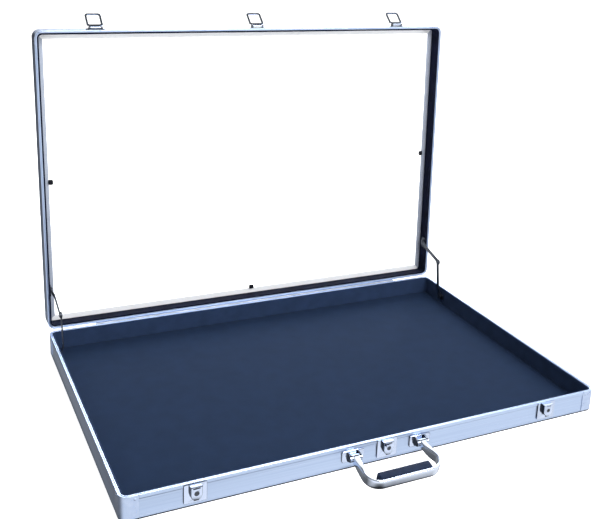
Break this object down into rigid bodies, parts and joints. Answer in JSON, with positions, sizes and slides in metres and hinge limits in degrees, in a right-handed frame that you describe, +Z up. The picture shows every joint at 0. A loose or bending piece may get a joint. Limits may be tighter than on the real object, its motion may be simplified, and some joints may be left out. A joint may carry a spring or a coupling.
{
  "type": "display attache case",
  "caption": "Shallow aluminium display attache case, lid open: clear window in a framed lid, dark padded tray, piano hinge, folding stays, hasp latches with key locks and a drop handle.",
  "frame": {"origin": "centre of the base's underside, on the surface it stands on", "axes": "+X to the right of someone facing the handle, along the hinge; -Y towards the handle and latches; +Z up"},
  "size_m": [0.8656, 0.7077, 0.6472],
  "materials": {
    "rail": "satin anodised, drawn lengthwise",
    "corner": "satin",
    "sheet": "mill finish sheet",
    "lining": "short black nap",
    "pad": "dark blue-black cloth over a thin pad",
    "window": "clear acrylic sheet",
    "plastic": "fine grain, black",
    "steel": "bright zinc plate",
    "chrome": "polished nickel plate"
  },
  "bodies": {
    "base": {"base_rail_front": "rail", "base_rail_back": "rail", "base_rail_left": "rail", "base_rail_right": "rail", "base_corner_front_left": "corner", "base_corner_front_right": "corner", "base_corner_back_left": "corner", "base_corner_back_right": "corner", "base_panel": "sheet", "base_lining": "lining", "base_pad": "pad", "base_hinge_leaf": "steel", "hinge_pin": "steel", "handle_bracket_left": "chrome", "handle_bracket_right": "chrome", "stay_mount_left": "steel", "stay_mount_right": "steel", "latch_keeper_left": "chrome", "latch_keeper_centre": "chrome", "latch_keeper_right": "chrome"},
    "lid": {"lid_rail_front": "rail", "lid_rail_back": "rail", "lid_rail_left": "rail", "lid_rail_right": "rail", "lid_corner_front_left": "corner", "lid_corner_front_right": "corner", "lid_corner_back_left": "corner", "lid_corner_back_right": "corner", "lid_window": "window", "lid_bezel": "rail", "lid_lining": "lining", "lid_clip_back": "plastic", "lid_clip_left": "plastic", "lid_clip_right": "plastic", "lid_hinge_leaf": "steel", "lid_stay_mount_left": "steel", "lid_stay_mount_right": "steel", "hasp_mount_left": "chrome", "hasp_mount_centre": "chrome", "hasp_mount_right": "chrome"},
    "hasp_body_left": {"hasp_left": "chrome"},
    "catch_body_left": {"latch_catch_left": "steel"},
    "plug_body_left": {"lock_plug_left": "chrome"},
    "hasp_body_centre": {"hasp_centre": "chrome"},
    "catch_body_centre": {"latch_catch_centre": "steel"},
    "plug_body_centre": {"lock_plug_centre": "chrome"},
    "hasp_body_right": {"hasp_right": "chrome"},
    "catch_body_right": {"latch_catch_right": "steel"},
    "plug_body_right": {"lock_plug_right": "chrome"},
    "handle": {"handle_bail": "chrome", "handle_grip": "plastic"},
    "lower_stay_left": {"stay_lower_arm_left": "steel"},
    "upper_stay_left": {"stay_upper_arm_left": "steel"},
    "lower_stay_right": {"stay_lower_arm_right": "steel"},
    "upper_stay_right": {"stay_upper_arm_right": "steel"}
  },
  "joints": [
    {"name": "lid_hinge", "type": "hinge", "parent": "base", "child": "lid", "pos_m": [0, 0.2914, 0.04], "axis": [1, 0, 0], "range_deg": [0, 92]},
    {"name": "hasp_left_hinge", "type": "hinge", "parent": "lid", "child": "hasp_body_left", "pos_m": [-0.321, 0.31709, 0.62386], "axis": [1, 0, 0], "range_deg": [0, 138]},
    {"name": "hasp_centre_hinge", "type": "hinge", "parent": "lid", "child": "hasp_body_centre", "pos_m": [0, 0.31709, 0.62386], "axis": [1, 0, 0], "range_deg": [0, 138]},
    {"name": "hasp_right_hinge", "type": "hinge", "parent": "lid", "child": "hasp_body_right", "pos_m": [0.321, 0.31709, 0.62386], "axis": [1, 0, 0], "range_deg": [0, 138]},
    {"name": "lock_plug_left_turn", "type": "hinge", "parent": "base", "child": "plug_body_left", "pos_m": [-0.321, -0.289, 0.0252], "axis": [0, -1, 0], "range_deg": [0, 90]},
    {"name": "lock_plug_centre_turn", "type": "hinge", "parent": "base", "child": "plug_body_centre", "pos_m": [0, -0.289, 0.0252], "axis": [0, -1, 0], "range_deg": [0, 90]},
    {"name": "lock_plug_right_turn", "type": "hinge", "parent": "base", "child": "plug_body_right", "pos_m": [0.321, -0.289, 0.0252], "axis": [0, -1, 0], "range_deg": [0, 90]},
    {"name": "catch_left_slide", "type": "slide", "parent": "base", "child": "catch_body_left", "axis": [0, 0, 1], "range_m": [0, 0.0016], "stiffness_N_per_m": 400, "springref_m": -0.002},
    {"name": "catch_centre_slide", "type": "slide", "parent": "base", "child": "catch_body_centre", "axis": [0, 0, 1], "range_m": [0, 0.0016], "stiffness_N_per_m": 400, "springref_m": -0.002},
    {"name": "catch_right_slide", "type": "slide", "parent": "base", "child": "catch_body_right", "axis": [0, 0, 1], "range_m": [0, 0.0016], "stiffness_N_per_m": 400, "springref_m": -0.002},
    {"name": "handle_swing", "type": "hinge", "parent": "base", "child": "handle", "pos_m": [0, -0.297, 0.0225], "axis": [-1, 0, 0], "range_deg": [0, 75]},
    {"name": "stay_lower_left_pivot", "type": "hinge", "parent": "base", "child": "lower_stay_left", "pos_m": [-0.4217, 0.2154, 0.019], "axis": [1, 0, 0], "range_deg": [0, 92]},
    {"name": "stay_elbow_left", "type": "hinge", "parent": "lower_stay_left", "child": "upper_stay_left", "pos_m": [-0.4178, 0.2284, 0.099], "axis": [1, 0, 0], "range_deg": [-92, 0]},
    {"name": "stay_lower_right_pivot", "type": "hinge", "parent": "base", "child": "lower_stay_right", "pos_m": [0.4217, 0.2154, 0.019], "axis": [1, 0, 0], "range_deg": [0, 92]},
    {"name": "stay_elbow_right", "type": "hinge", "parent": "lower_stay_right", "child": "upper_stay_right", "pos_m": [0.4178, 0.2284, 0.099], "axis": [1, 0, 0], "range_deg": [-92, 0]}
  ],
  "couplings": [
    {"joint": "stay_lower_left_pivot", "follows": "lid_hinge", "ratio": 1},
    {"joint": "stay_elbow_left", "follows": "lid_hinge", "ratio": -1},
    {"joint": "stay_lower_right_pivot", "follows": "lid_hinge", "ratio": 1},
    {"joint": "stay_elbow_right", "follows": "lid_hinge", "ratio": -1}
  ]
}
